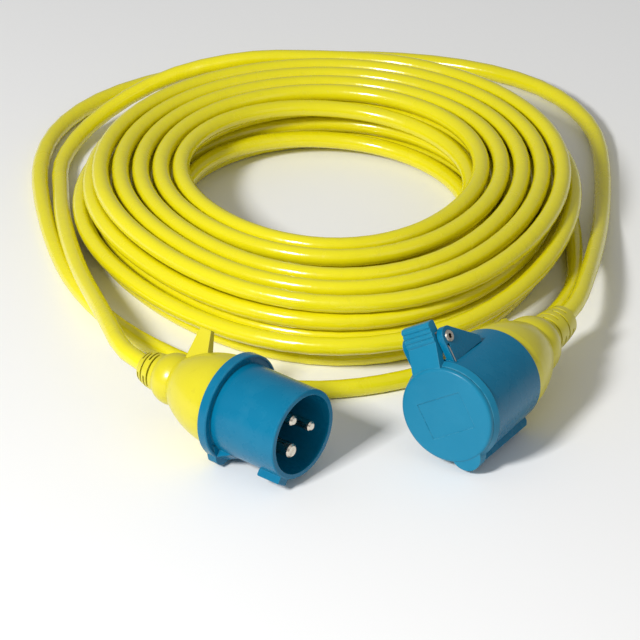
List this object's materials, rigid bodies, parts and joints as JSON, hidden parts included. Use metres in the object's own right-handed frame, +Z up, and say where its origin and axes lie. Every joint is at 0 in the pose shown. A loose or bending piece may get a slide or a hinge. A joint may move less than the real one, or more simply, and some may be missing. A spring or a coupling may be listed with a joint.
{
  "type": "shore power cord",
  "caption": "Yellow caravan hook-up lead in a loose coil, with a blue pin plug and a blue connector whose sprung lid covers its sleeves.",
  "frame": {"origin": "on the floor, under the middle of the box round the plug and the connector", "axes": "+Z up, +X along the longer side of that box, from the plug to the connector; the cable's coil lies on the +Y side"},
  "size_m": [0.3063, 0.4554, 0.0689],
  "materials": {
    "blue_plastic": "satin moulded polyamide, fine grain",
    "yellow_plastic": "glossy moulded soft plastic",
    "carrier_plastic": "matt dark insulating plastic",
    "nickel_brass": "nickel-plated brass, machined",
    "spring_steel": "bright spring wire",
    "rivet_steel": "zinc-plated, lightly dulled",
    "gasket_rubber": "matt black soft rubber",
    "cable_sheath": "smooth glossy sheath",
    "core_brown": "smooth insulation",
    "core_blue": "smooth insulation",
    "core_green": "smooth insulation, green and yellow"
  },
  "bodies": {
    "cord": {"plug_shroud": "blue_plastic", "connector_housing": "blue_plastic", "plug_overmould": "yellow_plastic", "connector_overmould": "yellow_plastic", "plug_contact_carrier": "carrier_plastic", "connector_contact_cover": "carrier_plastic", "connector_contact_carrier": "carrier_plastic", "sleeve_springs": "spring_steel", "hinge_pin": "rivet_steel", "hinge_spring": "spring_steel", "cable_coil": "cable_sheath", "cable_plug_run": "cable_sheath", "cable_connector_run": "cable_sheath", "plug_pin_live": "nickel_brass", "connector_sleeve_live": "nickel_brass", "plug_core_live": "core_brown", "connector_core_live": "core_brown", "plug_pin_neutral": "nickel_brass", "connector_sleeve_neutral": "nickel_brass", "plug_core_neutral": "core_blue", "connector_core_neutral": "core_blue", "plug_pin_earth": "nickel_brass", "connector_sleeve_earth": "nickel_brass", "plug_core_earth": "core_green", "connector_core_earth": "core_green"},
    "lid": {"lid": "blue_plastic", "lid_gasket": "gasket_rubber"}
  },
  "joints": [
    {"name": "lid_hinge", "type": "hinge", "parent": "cord", "child": "lid", "pos_m": [0.03188, -0.0161, 0.05569], "axis": [-0.7473, 0.4115, -0.5217], "range_deg": [0, 115], "stiffness_Nm_per_rad": 0.026, "springref_deg": -65.89}
  ]
}
